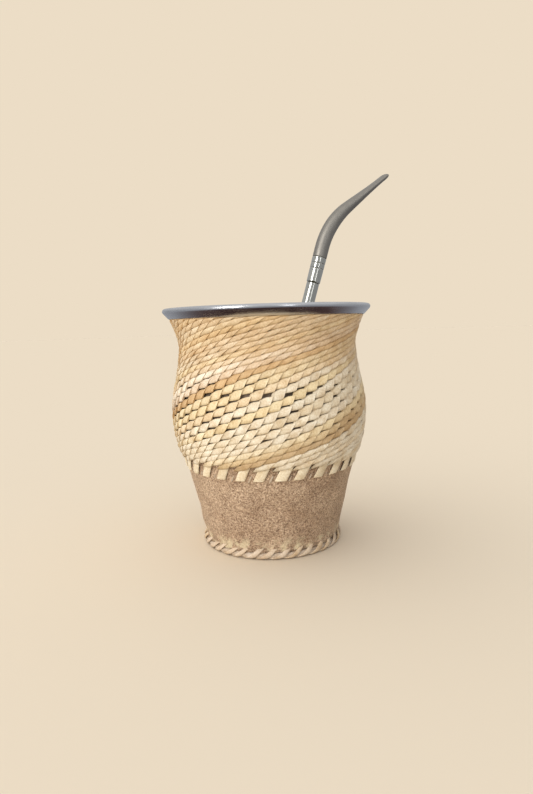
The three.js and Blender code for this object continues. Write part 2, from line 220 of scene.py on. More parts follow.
def finish_surface(tree, shader, colour, roughness, height, depth):
    """Links colour, roughness and a bump of a real depth in millimetres to a shader."""
    bump = add_node(tree, "Bump", {"Height": height, "Strength": 1.0, "Distance": depth * MILLIMETRE})
    tree.links.new(colour, shader.inputs["Base Color"])
    tree.links.new(roughness, shader.inputs["Roughness"])
    tree.links.new(bump.outputs["Normal"], shader.inputs["Normal"])


def new_group(name, inputs, outputs):
    """Empty shader node group, with its input node and its output node. Each input has a start
    value, a number or three of them for a vector, and each output is a number."""
    group = bpy.data.node_groups.new(name, "ShaderNodeTree")
    for socket, value in inputs.items():
        kind = "NodeSocketVector" if isinstance(value, tuple) else "NodeSocketFloat"
        group.interface.new_socket(socket, in_out="INPUT", socket_type=kind).default_value = value
    for socket in outputs:
        group.interface.new_socket(socket, in_out="OUTPUT", socket_type="NodeSocketFloat")
    return group, group.nodes.new("NodeGroupInput"), group.nodes.new("NodeGroupOutput")


def make_mottle_group():
    """Group for skin and shell: soft patches and a fine grain, each noise on Object
    coordinates, with the sizes of both given as counts per metre."""
    sizes = {"Patches": 60.0, "Grains": 1500.0}
    group, given, result = new_group("skin_mottle", sizes, ("Patch", "Grain"))
    place = add_node(group, "TexCoord").outputs["Object"]
    for source, target, detail in (("Patches", "Patch", 3.0), ("Grains", "Grain", 4.0)):
        grain = {"Vector": place, "Scale": given.outputs[source], "Detail": detail}
        noise = add_node(group, "TexNoise", grain)
        group.links.new(noise.outputs["Fac"], result.inputs[target])
    return group


mottle_group = make_mottle_group()


def add_mottle(tree, patches, grains):
    """The mottle group in a material, with its two sizes."""
    return add_node(tree, "Group", {"Patches": patches, "Grains": grains}, node_tree=mottle_group)


def make_calabash():
    """Dry dark shell: grey-brown with blotches and a fine porous grain."""
    material, tree, shader = new_material("calabash", Specular_IOR_Level=0.3)
    mottle = add_mottle(tree, 90.0, 1400.0)
    blotches = add_ramp(tree, mottle.outputs["Patch"], (0.35, paint(88, 77, 66)), (0.65, paint(130, 114, 98)))
    roughness = add_range(tree, mottle.outputs["Grain"], 0.55, 0.85)
    finish_surface(tree, shader, blotches, roughness, mottle.outputs["Grain"], 0.12)
    return material


hidden_heights = np.linspace(FOOT_ROUND_Z, HIDE_TOP_Z, 14)
woven_heights = np.linspace(HIDE_TOP_Z + 0.6, SLEEVE_TOP_Z, 30)
outer_heights = np.concatenate([hidden_heights, woven_heights])
inner_heights = np.linspace(NECK_Z, CAVITY_CORNER_Z, 24)
gourd_outline = [
    (POLE_R, GOURD_FLOOR_Z),
    (GOURD_FOOT_R, GOURD_FLOOR_Z),
    *zip(gourd_radius(outer_heights), outer_heights),
    (gourd_radius(SLEEVE_TOP_Z), GOURD_TOP_Z),
    (MOUTH_R, GOURD_TOP_Z),
    (MOUTH_R, LEDGE_Z),
    (LEDGE_R, LEDGE_Z),
    *zip(cavity_radius(inner_heights), inner_heights),
    (CAVITY_FLOOR_R, CAVITY_FLOOR_Z),
    (POLE_R, CAVITY_FLOOR_Z),
]
gourd = put_mesh(
    "calabash_cup",
    turned(gourd_outline, ROUND_STEPS),
    capped_faces(ROUND_STEPS, len(gourd_outline)),
    make_calabash(),
)
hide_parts("gourd_body")


# Hide base: one piece of short-haired tan hide, drawn wet over the foot of the gourd and left
# to dry. Its lower edge is pinched by the lacing, and its upper part has the slits that take
# the ends of the laces.
LACING_STITCHES = 34
HIDE_STEPS = 8 * LACING_STITCHES
HIDE_EDGE_Z = 2.4
HIDE_LIP = 0.7
PINCH_DEPTH = 0.5
PINCH_HEIGHT = 5.0
UNDERSIDE_R, EDGE_TURN_R = 27.0, 27.8
HIDE_THICKNESS = 1.6
HIDE_FLOOR_Z, HIDE_FLOOR_R = 2.6, 26.2
LUMP_DEPTH = 0.16
HIDE_SEED = 3


def random_waves(azimuth, height, seed, turns=16, pitch=9.0, count=40):
    """Uneven surface between about -1 and 1: a sum of waves with random directions. Each has a
    whole number of turns round the cup, so that it closes on itself, and a random phase."""
    draw = np.random.default_rng(seed)
    round_turns = draw.integers(-turns, turns + 1, count)
    upward = draw.uniform(-2 * np.pi / pitch, 2 * np.pi / pitch, count)
    phase = draw.uniform(0, 2 * np.pi, count)
    angles = azimuth[..., None] * round_turns + height[..., None] * upward + phase
    return np.cos(angles).sum(-1) / np.sqrt(count)


def make_hide():
    """Short-haired hide: tan with soft paler and darker patches, crossed by fine hairs, and rubbed
    pale in places near the lacing."""
    material, tree, shader = new_material(
        "short_haired_hide", Specular_IOR_Level=0.15, Sheen_Weight=0.25, Sheen_Roughness=0.5
    )
    shader.inputs["Sheen Tint"].default_value = paint(235, 215, 185)
    mottle = add_mottle(tree, 110.0, 1600.0)
    place = add_node(tree, "TexCoord").outputs["Object"]
    clumps = {"Vector": place, "Scale": 1150.0, "Detail": 3.0, "Roughness": 0.55, "Offset": 1.0}
    hairs = add_node(tree, "TexNoise", clumps, noise_type="RIDGED_MULTIFRACTAL")
    ridges = add_range(tree, hairs.outputs["Fac"], 0.0, 1.0, 0.1, 2.0)
    tan = add_ramp(tree, mottle.outputs["Patch"], (0.3, paint(205, 177, 150)), (0.7, paint(236, 210, 182)))
    dark_root, pale_tip = paint(138, 124, 113), paint(255, 253, 250)
    hair_tone = add_ramp(tree, ridges, (0.05, dark_root), (0.85, pale_tip))
    shaded, white = paint(196, 188, 180), paint(255, 255, 255)
    nap = add_ramp(tree, mottle.outputs["Grain"], (0.36, shaded), (0.64, white))
    combed = add_mix(tree, 0.8, tan, hair_tone, "MULTIPLY")
    haired = add_mix(tree, 1.0, combed, nap, "MULTIPLY")
    height = add_node(tree, "SeparateXYZ", {"Vector": place}).outputs["Z"]
    low_down = add_range(tree, height, 0.0, 1.0, 0.010, 0.004)
    rubbed = add_node(tree, "TexNoise", {"Vector": place, "Scale": 260.0, "Detail": 2.0})
    bare = add_range(tree, rubbed.outputs["Fac"], 0.0, 1.0, 0.48, 0.62)
    scuffed = add_node(tree, "Math", {0: low_down, 1: bare}, operation="MULTIPLY")
    colour = add_mix(tree, scuffed.outputs[0], haired, paint(214, 198, 164))
    roughness = add_range(tree, mottle.outputs["Grain"], 0.8, 0.95)
    finish_surface(tree, shader, colour, roughness, ridges, 0.3)
    return material


bare_heights = np.linspace(HIDE_EDGE_Z + HIDE_LIP, HIDE_SHOULDER_Z, 60)
tucked_heights = np.linspace(HIDE_SHOULDER_Z + 0.4, HIDE_TOP_Z, 10)
hide_heights = np.concatenate([bare_heights, tucked_heights])
hide_azimuths = np.linspace(0, 2 * np.pi, HIDE_STEPS, endpoint=False)[:, None]
hide_outline = [
    (POLE_R, 0.0),
    (UNDERSIDE_R, 0.0),
    (EDGE_TURN_R, HIDE_EDGE_Z - HIDE_THICKNESS),
    (hide_radius(HIDE_EDGE_Z) - HIDE_LIP, HIDE_EDGE_Z),
    (hide_radius(HIDE_EDGE_Z), HIDE_EDGE_Z + 0.25),
    *zip(hide_radius(hide_heights), hide_heights),
    (hide_radius(HIDE_TOP_Z) - HIDE_THICKNESS, HIDE_TOP_Z),
    (hide_radius(FOOT_ROUND_Z) - HIDE_THICKNESS, FOOT_ROUND_Z),
    (HIDE_FLOOR_R, HIDE_FLOOR_Z),
    (POLE_R, HIDE_FLOOR_Z),
]
hide_points = turned(hide_outline, HIDE_STEPS)
outside = slice(3, 5 + len(hide_heights))
skin_heights = hide_points[:, outside, 2]
pinch_share = np.exp(-((skin_heights / PINCH_HEIGHT) ** 2))
pinch = PINCH_DEPTH * np.cos(LACING_STITCHES * hide_azimuths) * pinch_share
lumps = LUMP_DEPTH * random_waves(hide_azimuths + 0 * skin_heights, skin_heights, HIDE_SEED)
stretch = 1 + (pinch + lumps) / np.linalg.norm(hide_points[:, outside, :2], axis=-1)
hide_points[:, outside, :2] *= stretch[..., None]
hide = put_mesh("shrunk_hide", hide_points, capped_faces(HIDE_STEPS, len(hide_outline)), make_hide())
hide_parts("hide_base")


# Base lacing: a rawhide lace laid along the bottom edge and whipped to the hide with a second
# one, which comes up round the edge and slants to the right into a hole above it.
WELT_R, WELT_Z = 29.1, 1.3
WELT_HALF_WIDTH, WELT_HALF_HEIGHT = 1.05, 1.2
WELT_SIDES = 14
WHIP_WIDTH, WHIP_THICKNESS = 3.6, 0.7
WHIP_STATIONS = 16
STRIP_SIDES = 12
WHIP_SLANT_DEGREES = 15.0
HOLE_Z = 4.9
LACING_SEED = 5


def flat_section(sides):
    """Round-edged flat section: points at angles p, at (cos p, sin p) with both drawn out to a
    box by a root, so that the edges of the strip stay soft."""
    angle = np.linspace(0, 2 * np.pi, sides, endpoint=False)
    across, out = np.cos(angle), np.sin(angle)
    return np.sign(across) * np.abs(across) ** 0.6, np.sign(out) * np.abs(out) ** 0.8


def tube_faces(strips, stations, sides):
    """Faces of many capped strips: a grid round each strip, and a flat face on its two ends."""
    one = grid_faces(stations, sides, close_columns=False, close_rows=True)[:, ::-1]
    starts = (np.arange(strips) * stations * sides)[:, None]
    squares = (one[None] + starts[..., None]).reshape(-1, 4).tolist()
    first = (np.arange(sides)[::-1][None] + starts).tolist()
    last = (np.arange(sides)[None] + (stations - 1) * sides + starts).tolist()
    return squares + first + last


def point_tone(red, green, blue):
    """Linear colour for points, from the values that a screen shows."""
    return np.array(paint(red, green, blue)[:3])


def set_tones(piece, tones):
    """Colour attribute own_tone, one colour for each point."""
    layer = piece.data.attributes.new("own_tone", "FLOAT_COLOR", "POINT")
    flat = np.concatenate([tones, np.ones((len(tones), 1))], axis=1)
    layer.data.foreach_set("color", flat.astype(np.float32).ravel())


def make_rawhide():
    """Dry rawhide: the lace's own tone with soft blotches and short fibres, half matt."""
    material, tree, shader = new_material("rawhide", Specular_IOR_Level=0.35)
    tone = add_node(tree, "Attribute", attribute_name="own_tone").outputs["Color"]
    mottle = add_mottle(tree, 230.0, 1700.0)
    white = paint(255, 255, 255)
    blotches = add_ramp(tree, mottle.outputs["Patch"], (0.3, paint(232, 222, 208)), (0.65, white))
    fibres = add_ramp(tree, mottle.outputs["Grain"], (0.32, paint(234, 226, 214)), (0.62, white))
    blotched = add_mix(tree, 1.0, tone, blotches, "MULTIPLY")
    colour = add_mix(tree, 1.0, blotched, fibres, "MULTIPLY")
    roughness = add_range(tree, mottle.outputs["Grain"], 0.5, 0.75)
    finish_surface(tree, shader, colour, roughness, mottle.outputs["Grain"], 0.07)
    return material


rawhide = make_rawhide()
CREAM = point_tone(229, 220, 201)
STRAW = point_tone(227, 210, 172)
TAN = point_tone(211, 181, 138)
CHALK = point_tone(238, 229, 214)
BLUSH = point_tone(227, 212, 193)
BROWN = point_tone(178, 142, 96)
# Painted shade and a warm tint: a factor that darkens and warms the tones of the lacing, the welt and the
# slit lips, low on the cup.
SHADED_AND_WARMED = np.array([0.81, 0.74, 0.72])

draw = np.random.default_rng(LACING_SEED)
welt_steps = 6 * LACING_STITCHES
welt_azimuth = np.linspace(0, 2 * np.pi, welt_steps, endpoint=False)[:, None]
section_angle = np.linspace(0, 2 * np.pi, WELT_SIDES, endpoint=False)[None]
welt_swell = 1 + 0.07 * random_waves(welt_azimuth, 0 * welt_azimuth, LACING_SEED, turns=60)
welt_radius = WELT_R + WELT_HALF_WIDTH * welt_swell * np.cos(section_angle)
welt_height = WELT_Z + WELT_HALF_HEIGHT * np.sin(section_angle)
welt_points = round_points(welt_radius, welt_azimuth, welt_height)
welt_faces = grid_faces(welt_steps, WELT_SIDES, close_rows=True)

along = np.linspace(0, 1, WHIP_STATIONS)
bezier = np.stack([(1 - along) ** 3, 3 * along * (1 - along) ** 2, 3 * along**2 * (1 - along), along**3])
whip_control = np.array([(28.6, 0.6), (31.5, -0.2), (31.0, 3.0), (hide_radius(HOLE_Z) - 0.8, HOLE_Z)])
whip_r, whip_z = (bezier.T @ whip_control).T
tangent_r, tangent_z = np.gradient(whip_r), np.gradient(whip_z)
tangent_size = np.hypot(tangent_r, tangent_z)
normal_r, normal_z = tangent_z / tangent_size, -tangent_r / tangent_size
section_across, section_out = flat_section(STRIP_SIDES)
stitch = np.arange(LACING_STITCHES)[:, None, None]
stitch_shift = draw.uniform(-0.012, 0.012, LACING_STITCHES)[:, None, None]
stitch_rise = draw.uniform(-0.16, 0.1, LACING_STITCHES)[:, None, None]
stitch_width = WHIP_WIDTH * draw.uniform(0.88, 1.12, LACING_STITCHES)[:, None, None]
taper = (1 - 0.5 * along**2)[None, :, None]
out = 0.5 * WHIP_THICKNESS * section_out
whip_radius = whip_r[None, :, None] + normal_r[None, :, None] * out
whip_height = np.maximum(whip_z[None, :, None] + normal_z[None, :, None] * out, 0.05)
whip_height = whip_height * (1 + stitch_rise * along[None, :, None])
whip_azimuth = (
    2 * np.pi * (stitch + 0.5) / LACING_STITCHES
    + stitch_shift
    + math.radians(WHIP_SLANT_DEGREES) * (along[None, :, None] - 0.5)
    + 0.5 * stitch_width * taper * section_across / whip_r[None, :, None]
)
whip_points = round_points(whip_radius, whip_azimuth, whip_height)
welt_count = welt_steps * WELT_SIDES
whip_faces = tube_faces(LACING_STITCHES, WHIP_STATIONS, STRIP_SIDES)
lacing = put_mesh(
    "whipped_lacing",
    np.concatenate([welt_points.reshape(-1, 3), whip_points.reshape(-1, 3)]),
    welt_faces.tolist() + [[welt_count + corner for corner in face[::-1]] for face in whip_faces],
    rawhide,
)
# The whip and welt tones are darkened and warmed by painted shade, and the welt is 0.9 of that again.
stitch_tone = SHADED_AND_WARMED * (CREAM + (STRAW - CREAM) * draw.uniform(0, 1, LACING_STITCHES)[:, None])
whip_tones = np.repeat(stitch_tone, WHIP_STATIONS * STRIP_SIDES, axis=0)
set_tones(lacing, np.concatenate([np.tile(0.9 * SHADED_AND_WARMED * CREAM, (welt_count, 1)), whip_tones]))
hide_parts("base_lacing")


# Woven sleeve: 31 flat rawhide laces that climb to the right, one stitch in each column. The
# right end of a stitch lies over the next one of its lace. The rows are packed tight near the
# rim and the foot and stand apart round the bulge, where slots show the calabash.
LACES = 31
COLUMNS = 2 * LACES
ROWS = 20
FIRST_ROW_Z = 40.6
TOP_EDGE_Z = 98.15
TOP_SOFTNESS = 0.35
TIGHT_PITCH, OPEN_PITCH = 3.0, 4.25
OPEN_FROM, OPEN_TO = (46.0, 54.0), (70.0, 80.0)
FOOT_LEAN, MIDDLE_LEAN, NECK_LEAN = 43.0, 20.0, 53.0
LEAN_EASES, LEAN_GROWS = (46.0, 69.0), (69.0, 84.0)
SLOT_ROW_Z = 68.6
SLOT_AZIMUTH_DEGREES = -0.8
STAIN_DEGREES, STAIN_Z, STAIN_SIZE = 47.0, 57.0, 8.0
WEAVE_SEED = 11
ACROSS = np.array([-1, -0.7, -0.35, 0, 0.35, 0.7, 0.9, 1.0])
UPWARD = np.array([-1, -0.84, -0.45, 0, 0.45, 0.84, 1.0])
LEFT_REACH, RIGHT_REACH = 0.6, 0.57
STITCH_DEPTH = 0.9


def ramp(value, low, high):
    """Smooth step from 0 at low to 1 at high."""
    share = np.clip((value - low) / (high - low), 0, 1)
    return share * share * (3 - 2 * share)


def running_sum(rate, stations):
    """Integral of a rate from the first station up to each one, by the trapezoid rule."""
    return np.concatenate([[0], np.cumsum(0.5 * (rate[1:] + rate[:-1]) * np.diff(stations))])


stations = np.linspace(FIRST_ROW_Z - 4, TOP_EDGE_Z + 6, 500)
openness = ramp(stations, *OPEN_FROM) * (1 - ramp(stations, *OPEN_TO))
lean_degrees = (
    FOOT_LEAN
    + (MIDDLE_LEAN - FOOT_LEAN) * ramp(stations, *LEAN_EASES)
    + (NECK_LEAN - MIDDLE_LEAN) * ramp(stations, *LEAN_GROWS)
)
row_number = running_sum(1 / (TIGHT_PITCH + (OPEN_PITCH - TIGHT_PITCH) * openness), stations)
slot_row = np.interp(SLOT_ROW_Z, stations, row_number)
row_number += np.round(slot_row) + 0.5 - slot_row
row_number -= np.round(np.interp(FIRST_ROW_Z, stations, row_number))
column_turn = running_sum(np.tan(np.radians(lean_degrees)) / sleeve_radius(stations), stations)
column_turn += math.radians(SLOT_AZIMUTH_DEGREES) - np.interp(SLOT_ROW_Z, stations, column_turn)


def row_height(row):
    """Height of a row number, read back from the integral of one over the pitch."""
    return np.interp(row, row_number, stations)


def on_sleeve(column, row, lift):
    """Point at a column and row of the lattice, lifted off the sleeve's outside: its height is
    the row's, held softly below the rim, and its azimuth is the column's plus the turn of the
    leaning columns there."""
    free_height = row_height(row)
    below_rim = TOP_SOFTNESS * np.logaddexp(0, (TOP_EDGE_Z - free_height) / TOP_SOFTNESS)
    height = TOP_EDGE_Z - below_rim
    azimuth = 2 * np.pi * column / COLUMNS + np.interp(free_height, stations, column_turn)
    return round_points(sleeve_radius(height) + lift, azimuth, height)


draw = np.random.default_rng(WEAVE_SEED)
columns, rows = np.meshgrid(np.arange(COLUMNS), np.arange(ROWS), indexing="ij")
column = columns.ravel().astype(float)
row = rows.ravel() + 0.5 * (columns.ravel() % 2)
keep = row_height(row) < TOP_EDGE_Z + 1.5
column, row = column[keep], row[keep]
count = len(column)
lace = np.round((column - 2 * row) / 2).astype(int) % LACES
middle_z = row_height(row)
open_share = np.interp(middle_z, stations, openness)
azimuth = 2 * np.pi * column / COLUMNS + np.interp(middle_z, stations, column_turn)
azimuth = (azimuth + np.pi) % (2 * np.pi) - np.pi


def slot_share(row_above):
    """Share of a row's pitch that is left open at a row number: a little between the open rows,
    and most in the one row of wide slots at the front."""
    height = row_height(row_above)
    opened = np.interp(height, stations, openness)
    wide = np.exp(-(((height - SLOT_ROW_Z) / 1.2) ** 2)) * (1 - ramp(np.abs(azimuth), 0.5, 0.75))
    return -0.05 + opened * (0.06 + 0.2 * uneven(row_above)) + 0.17 * wide


def uneven(row_above):
    """Repeatable unevenness from 0 to 1 for a column and a row number."""
    return np.modf(np.abs(np.sin(column * 12.9898 + row_above * 78.233) * 43758.5453))[0]


def shaped(values):
    """One value for each stitch, laid out over its grid."""
    return values[:, None, None]


s, t = ACROSS[None, :, None], UPWARD[None, None, :]
slope = 0.19 - 0.1 * open_share + draw.uniform(-0.025, 0.025, count)
upper_half = 0.5 * (1 - slot_share(row + 0.5)) * draw.uniform(0.96, 1.03, count)
lower_half = 0.5 * (1 - slot_share(row - 0.5)) * draw.uniform(0.96, 1.03, count)
top_shape = 1 - 0.42 * np.clip((-0.05 - s) / 0.95, 0, 1) ** 1.4
bottom_shape = 1 - 0.14 * np.clip((s - 0.5) / 0.5, 0, 1) ** 2
half = np.where(t > 0, shaped(upper_half) * top_shape, shaped(lower_half) * bottom_shape)
tight_share = 1 - open_share
left_reach = LEFT_REACH + 0.1 * tight_share
right_reach = RIGHT_REACH + 0.16 * tight_share * draw.uniform(-1, 1, count)
stitch_column = shaped(column) + np.where(s < 0, shaped(left_reach) * s, shaped(right_reach) * s)
stitch_row = shaped(row) + shaped(slope) * s + t * half
crown = (0.22 + 0.14 * tight_share) * draw.uniform(0.8, 1.2, count)
tilt = 0.36 - 0.11 * ramp(middle_z, 72, 84) + draw.uniform(-0.07, 0.07, count)
lift = (
    -0.85
    + shaped(tilt) * s
    + shaped(crown) * (1 - np.abs(t) ** 2.6)
    + 0.1 * (1 - s**2)
    - 0.14 * ramp(np.abs(t), 0.84, 1.0)
    + shaped(draw.uniform(-0.06, 0.06, count))
)
top_points = on_sleeve(stitch_column, stitch_row, lift)
across_count, up_count = len(ACROSS), len(UPWARD)
border = grid_border(across_count, up_count)
flat_lift = lift.reshape(count, -1)[:, border] - STITCH_DEPTH
border_column = np.broadcast_to(stitch_column, lift.shape).reshape(count, -1)[:, border]
border_row = stitch_row.reshape(count, -1)[:, border]
under_points = on_sleeve(border_column, border_row, flat_lift)
stitch_points = np.concatenate([top_points.reshape(count, -1, 3), under_points], axis=1)
per_stitch = stitch_points.shape[1]
rim_ring = across_count * up_count + np.arange(len(border))
top_faces = grid_faces(across_count, up_count, close_columns=False)
side_faces = np.stack([border, rim_ring, np.roll(rim_ring, -1), np.roll(border, -1)], -1)
starts = (np.arange(count) * per_stitch)[:, None]
squares = np.concatenate([top_faces, side_faces])
sleeve_faces = (squares[None] + starts[..., None]).reshape(-1, 4).tolist()
sleeve_faces += (rim_ring[::-1][None] + starts).tolist()
sleeve = put_mesh("rawhide_weave", stitch_points, sleeve_faces, rawhide, sharp_degrees=55)


def lace_at(degrees, height):
    """Number of the lace whose stitch lies nearest to an azimuth and a height at the front."""
    away = np.hypot(BULGE_R * (azimuth - math.radians(degrees)), middle_z - height)
    return lace[np.argmin(away)]


lace_mix = draw.uniform(0, 1, (LACES, 3))
lace_tone = CREAM + (STRAW - CREAM) * lace_mix[:, :1] + (BLUSH - CREAM) * 0.6 * (lace_mix[:, 1:2] > 0.75)
lace_tone[lace_at(-2, 83)] = CHALK
lace_tone[lace_at(-2, 80)] = BLUSH
brown_laces = [lace_at(18, 47), lace_at(18, 50)]
lace_tone[brown_laces] = 0.65 * BROWN + 0.35 * STRAW, 0.35 * BROWN + 0.65 * STRAW
lace_tone[lace_at(45, 88)] = 0.85 * TAN + 0.15 * BROWN
stitch_tone = lace_tone[lace] * draw.uniform(0.94, 1.04, (count, 1))
tan_share = 0.75 * ramp(middle_z, 70, 86)[:, None] * draw.uniform(0.5, 1, (count, 1))
stitch_tone = stitch_tone + (TAN - stitch_tone) * tan_share
palest = np.where(np.isin(lace, brown_laces), 0.1, 0.5)
pale_share = (palest * (1 - ramp(middle_z, 46, 58)))[:, None]
stitch_tone = stitch_tone + (CREAM - stitch_tone) * pale_share
stain_away = np.hypot(BULGE_R * (azimuth - math.radians(STAIN_DEGREES)), 1.6 * (middle_z - STAIN_Z))
stain = 0.5 * np.exp(-((stain_away / STAIN_SIZE) ** 2))[:, None]
stitch_tone = stitch_tone + (BROWN - stitch_tone) * stain
# Painted shade and dirt darken each stitch's lower edge. Painted shade darkens its left end, where the end of
# the stitch before lies over it. A painted highlight, on an edge that is pale where it is cut, lightens the
# right end. The sides of each stitch are painted in shade at 0.82, and the deeper the shade, the warmer it
# is.
painted_shade_on_top = 1 - 0.14 * ramp(-t, 0.5, 1.0) - 0.15 * ramp(-s, 0.3, 0.9) + 0.1 * ramp(s, 0.7, 1.0)
painted_stitch_shade = np.concatenate([painted_shade_on_top.reshape(-1), np.full(len(border), 0.82)])
stitch_tones = stitch_tone[:, None] * painted_stitch_shade[:, None] ** np.array([1.0, 1.1, 1.25])
set_tones(sleeve, stitch_tones.reshape(-1, 3))
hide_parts("woven_sleeve")


# Lace ends: below the weave each lace turns down, lies on the hide and dives into a slit. The
# cut edge of the slit stands up a little beside it as a pale lip.
FRONT_TAB_DEGREES = 4.3
TAB_SLANT_DEGREES = 5.6
TAB_WIDTH, TAB_THICKNESS = 4.5, 0.8
TAB_ROOT_Z, TAB_END_Z = 41.4, 34.0
TAB_DEPTH_IN_WEAVE = 1.6
TAB_STATIONS = 14
FRONT_SPREAD = 0.08
LIP_SIDES, LIP_ROWS = 10, 7
LIP_Z, LIP_GAP, LIP_LEAN = 35.2, 0.9, 0.45
LIP_HALF_WIDTH, LIP_HALF_HEIGHT, LIP_RISE = 0.5, 1.3, 0.5
TAB_SEED = 17

draw = np.random.default_rng(TAB_SEED)
down = np.linspace(0, 1, TAB_STATIONS)
tab_z = TAB_ROOT_Z + (TAB_END_Z - TAB_ROOT_Z) * down
tab_lift = 0.55 + 0.25 * np.sin(np.pi * down) - 1.7 * ramp(down, 0.9, 1.0) ** 2
weave_share = ramp(tab_z, 38.0, 41.0)
on_hide_r = hide_radius(tab_z) + tab_lift
in_weave_r = sleeve_radius(tab_z) - TAB_DEPTH_IN_WEAVE
tab_r = on_hide_r + weave_share * (in_weave_r - on_hide_r)
tab = np.arange(LACES)[:, None, None]
tab_shift = np.radians(draw.uniform(-0.9, 0.9, LACES))[:, None, None]
tab_width = TAB_WIDTH * draw.uniform(0.9, 1.08, LACES)[:, None, None]
section_across, section_out = flat_section(STRIP_SIDES)
bow = (0.12 * draw.uniform(0.3, 1.6, LACES))[:, None, None]
tab_place = math.radians(FRONT_TAB_DEGREES) + 2 * np.pi * tab / LACES
tab_azimuth = (
    tab_place
    + FRONT_SPREAD * np.sin(tab_place)
    + tab_shift
    + math.radians(TAB_SLANT_DEGREES) * (1 - down)[None, :, None]
    + 0.5 * tab_width * section_across / tab_r[None, :, None]
)
tab_radius = tab_r[None, :, None] + 0.5 * TAB_THICKNESS * section_out - bow * section_across**2
tab_points = round_points(tab_radius, tab_azimuth, tab_z[None, :, None])
tabs = put_mesh("lace_ends", tab_points, tube_faces(LACES, TAB_STATIONS, STRIP_SIDES), rawhide)
tab_tone = (CREAM + 0.35 * (STRAW - CREAM)) * draw.uniform(0.94, 1.08, (LACES, 1))
set_tones(tabs, np.repeat(tab_tone, TAB_STATIONS * STRIP_SIDES, axis=0))

lip_turn = np.linspace(0, 2 * np.pi, LIP_SIDES, endpoint=False)[None, :, None]
lip_latitude = np.linspace(-1.4, 1.4, LIP_ROWS)[None, None, :]
lip_size = draw.uniform(0.7, 1.3, (LACES, 1, 1))
lip_across = LIP_HALF_WIDTH * lip_size * np.cos(lip_latitude) * np.sin(lip_turn)
lip_z = LIP_Z + LIP_HALF_HEIGHT * lip_size * np.sin(lip_latitude) + 0 * lip_turn
lip_r = hide_radius(lip_z) + LIP_RISE * lip_size * np.cos(lip_latitude) * np.cos(lip_turn)
lip_lean = LIP_LEAN * (lip_z - LIP_Z)
lip_from_tab = 0.5 * tab_width + LIP_GAP - lip_lean
lip_azimuth = tab_place + FRONT_SPREAD * np.sin(tab_place) + tab_shift + (lip_across - lip_from_tab) / lip_r
lip_points = round_points(lip_r, lip_azimuth, lip_z)
one_lip = capped_faces(LIP_SIDES, LIP_ROWS)
lip_faces = repeated_faces(one_lip, LACES, LIP_SIDES * LIP_ROWS)
lips = put_mesh("slit_lips", lip_points, lip_faces, rawhide)
# The lips' tone is darkened and warmed by the same painted shade, and is 0.84 of that again.
set_tones(lips, np.tile(0.84 * SHADED_AND_WARMED * CREAM, (lip_z.size, 1)))


# Steel rim: a spun sheet of polished stainless steel. A skirt sits inside the mouth, a flange
# rests on the gourd and a rolled bead overhangs the sleeve.
BEAD_R, BEAD_TUBE = 44.7, 1.2
RIM_TOP_Z, RIM_FOOT_Z, RIM_FOOT_R = 102.6, 98.2, 42.1
RIM_SHEET = 0.9
SKIRT_R, SKIRT_FOOT_Z = 35.0, 93.8
RIM_STEPS = 256


def make_steel_group():
    """Group for worked steel: a roughness and a height that vary in fine streaks. The vector
    that it is given is stretched along the streaks."""
    values = {"Vector": (0.0, 0.0, 0.0), "Smoothest": 0.1, "Roughest": 0.3}
    group, given, result = new_group("steel_streaks", values, ("Roughness", "Height"))
    streak = {"Vector": given.outputs["Vector"], "Scale": 1.0, "Detail": 5.0}
    noise = add_node(group, "TexNoise", streak)
    limits = given.outputs["Smoothest"], given.outputs["Roughest"]
    rough = add_range(group, noise.outputs["Fac"], *limits, 0.3, 0.7)
    group.links.new(rough, result.inputs["Roughness"])
    group.links.new(noise.outputs["Fac"], result.inputs["Height"])
    return group


steel_group = make_steel_group()


def make_steel(name, colour, stretch, turn, smoothest, roughest, depth):
    """Steel whose streaks follow the piece: Object coordinates are turned, then stretched."""
    material, tree, shader = new_material(name, Metallic=1.0)
    place = add_node(tree, "TexCoord").outputs["Object"]
    mapping = add_node(tree, "Mapping", {"Vector": place, "Scale": stretch, "Rotation": turn})
    values = {"Vector": mapping.outputs["Vector"], "Smoothest": smoothest, "Roughest": roughest}
    streaks = add_node(tree, "Group", values, node_tree=steel_group)
    dull = tuple(0.86 * channel for channel in colour[:3]) + (1.0,)
    tone = add_ramp(tree, streaks.outputs["Height"], (0.3, dull), (0.7, colour))
    finish_surface(tree, shader, tone, streaks.outputs["Roughness"], streaks.outputs["Height"], depth)
    return material


bead_angle = np.radians(np.linspace(-40, 125, 22))
bead_middle_r, bead_middle_z = BEAD_R - BEAD_TUBE, RIM_TOP_Z - BEAD_TUBE
seat_z = GOURD_TOP_Z + 0.3
rim_outline = [
    (RIM_FOOT_R, RIM_FOOT_Z),
    (RIM_FOOT_R + 0.15, RIM_FOOT_Z + 0.1),
    *zip(bead_middle_r + BEAD_TUBE * np.cos(bead_angle), bead_middle_z + BEAD_TUBE * np.sin(bead_angle)),
    (SKIRT_R + 1.6, seat_z + 1.15),
    (SKIRT_R + 0.7, seat_z + 0.7),
    (SKIRT_R + 0.15, seat_z + 0.1),
    (SKIRT_R, seat_z - 0.7),
    (SKIRT_R, SKIRT_FOOT_Z + 0.2),
    (SKIRT_R + 0.2, SKIRT_FOOT_Z),
    (SKIRT_R + RIM_SHEET, SKIRT_FOOT_Z),
    (SKIRT_R + RIM_SHEET, seat_z),
    (RIM_FOOT_R - 1.35, seat_z),
    (RIM_FOOT_R - RIM_SHEET, RIM_FOOT_Z),
]
rim_steel = make_steel(
    "polished_rim_steel", paint(204, 205, 208), (90.0, 90.0, 700.0), (0.0, 0.0, 0.0), 0.14, 0.32, 0.01
)
rim = put_mesh(
    "spun_rim",
    turned(rim_outline, RIM_STEPS),
    grid_faces(RIM_STEPS, len(rim_outline), close_rows=True),
    rim_steel,
    sharp_degrees=35,
)
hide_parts("steel_rim")


